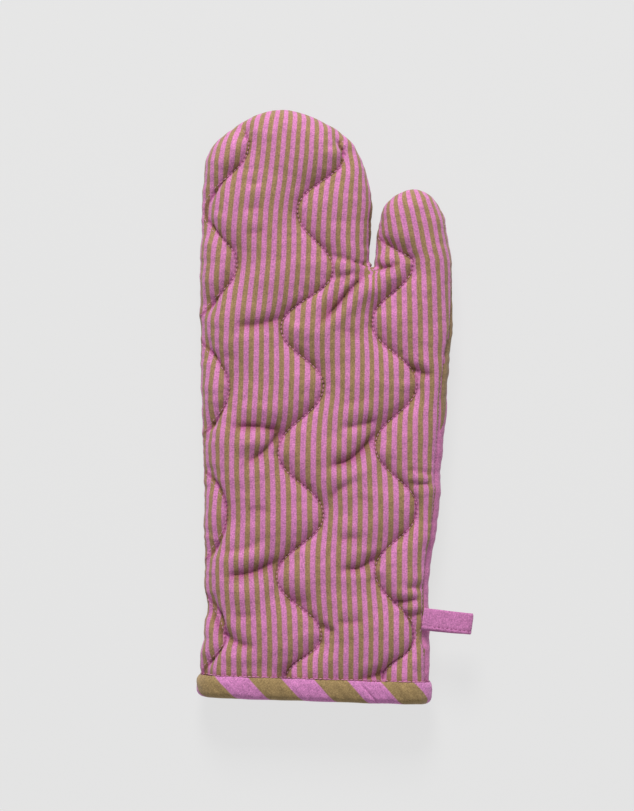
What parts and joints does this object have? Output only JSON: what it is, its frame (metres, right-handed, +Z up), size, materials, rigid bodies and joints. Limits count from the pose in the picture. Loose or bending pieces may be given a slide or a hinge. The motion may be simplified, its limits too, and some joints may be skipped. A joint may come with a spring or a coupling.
{
  "type": "oven mitt",
  "caption": "Quilted cotton oven mitt lying flat, narrow-striped front, wide-striped back, padded hand and thumb, bias-bound cuff and a fabric hanging loop.",
  "frame": {"origin": "on the flat underside, under the middle of the palm, halfway along the mitt", "axes": "+Z up out of the narrow-striped front, +Y to the fingertips, +X to the thumb side"},
  "size_m": [0.1663, 0.3611, 0.0302],
  "materials": {
    "narrow_stripe_cotton": "plain-weave cotton, narrow pink and olive stripes",
    "wide_stripe_cotton": "plain-weave cotton, wide pink and olive stripes",
    "bias_binding": "wide-striped cotton cut on the bias",
    "loop_cotton": "plain pink cotton strip, folded and edge stitched",
    "lining_cotton": "natural cotton, plain weave",
    "wadding": "soft cotton wadding",
    "quilting_thread": "matt cotton thread",
    "seam_thread": "matt cotton thread"
  },
  "bodies": {
    "mitt": {"front_shell": "narrow_stripe_cotton", "front_wadding": "wadding", "front_lining": "lining_cotton", "front_quilting_thread_left": "quilting_thread", "front_quilting_thread_middle": "quilting_thread", "front_quilting_thread_thumb": "quilting_thread", "back_shell": "wide_stripe_cotton", "back_wadding": "wadding", "back_lining": "lining_cotton", "back_quilting_thread_left": "quilting_thread", "back_quilting_thread_middle": "quilting_thread", "back_quilting_thread_thumb": "quilting_thread", "side_seam_thread": "seam_thread", "cuff_binding": "bias_binding", "binding_stitch_thread": "seam_thread"},
    "loop": {"hanging_loop": "loop_cotton", "loop_stitch_thread": "seam_thread"}
  },
  "joints": [
    {"name": "loop_hinge", "type": "hinge", "parent": "mitt", "child": "loop", "pos_m": [0.05761, -0.1295, 0.02508], "axis": [0, -1, 0], "range_deg": [-40, 95], "stiffness_Nm_per_rad": 0.001}
  ]
}
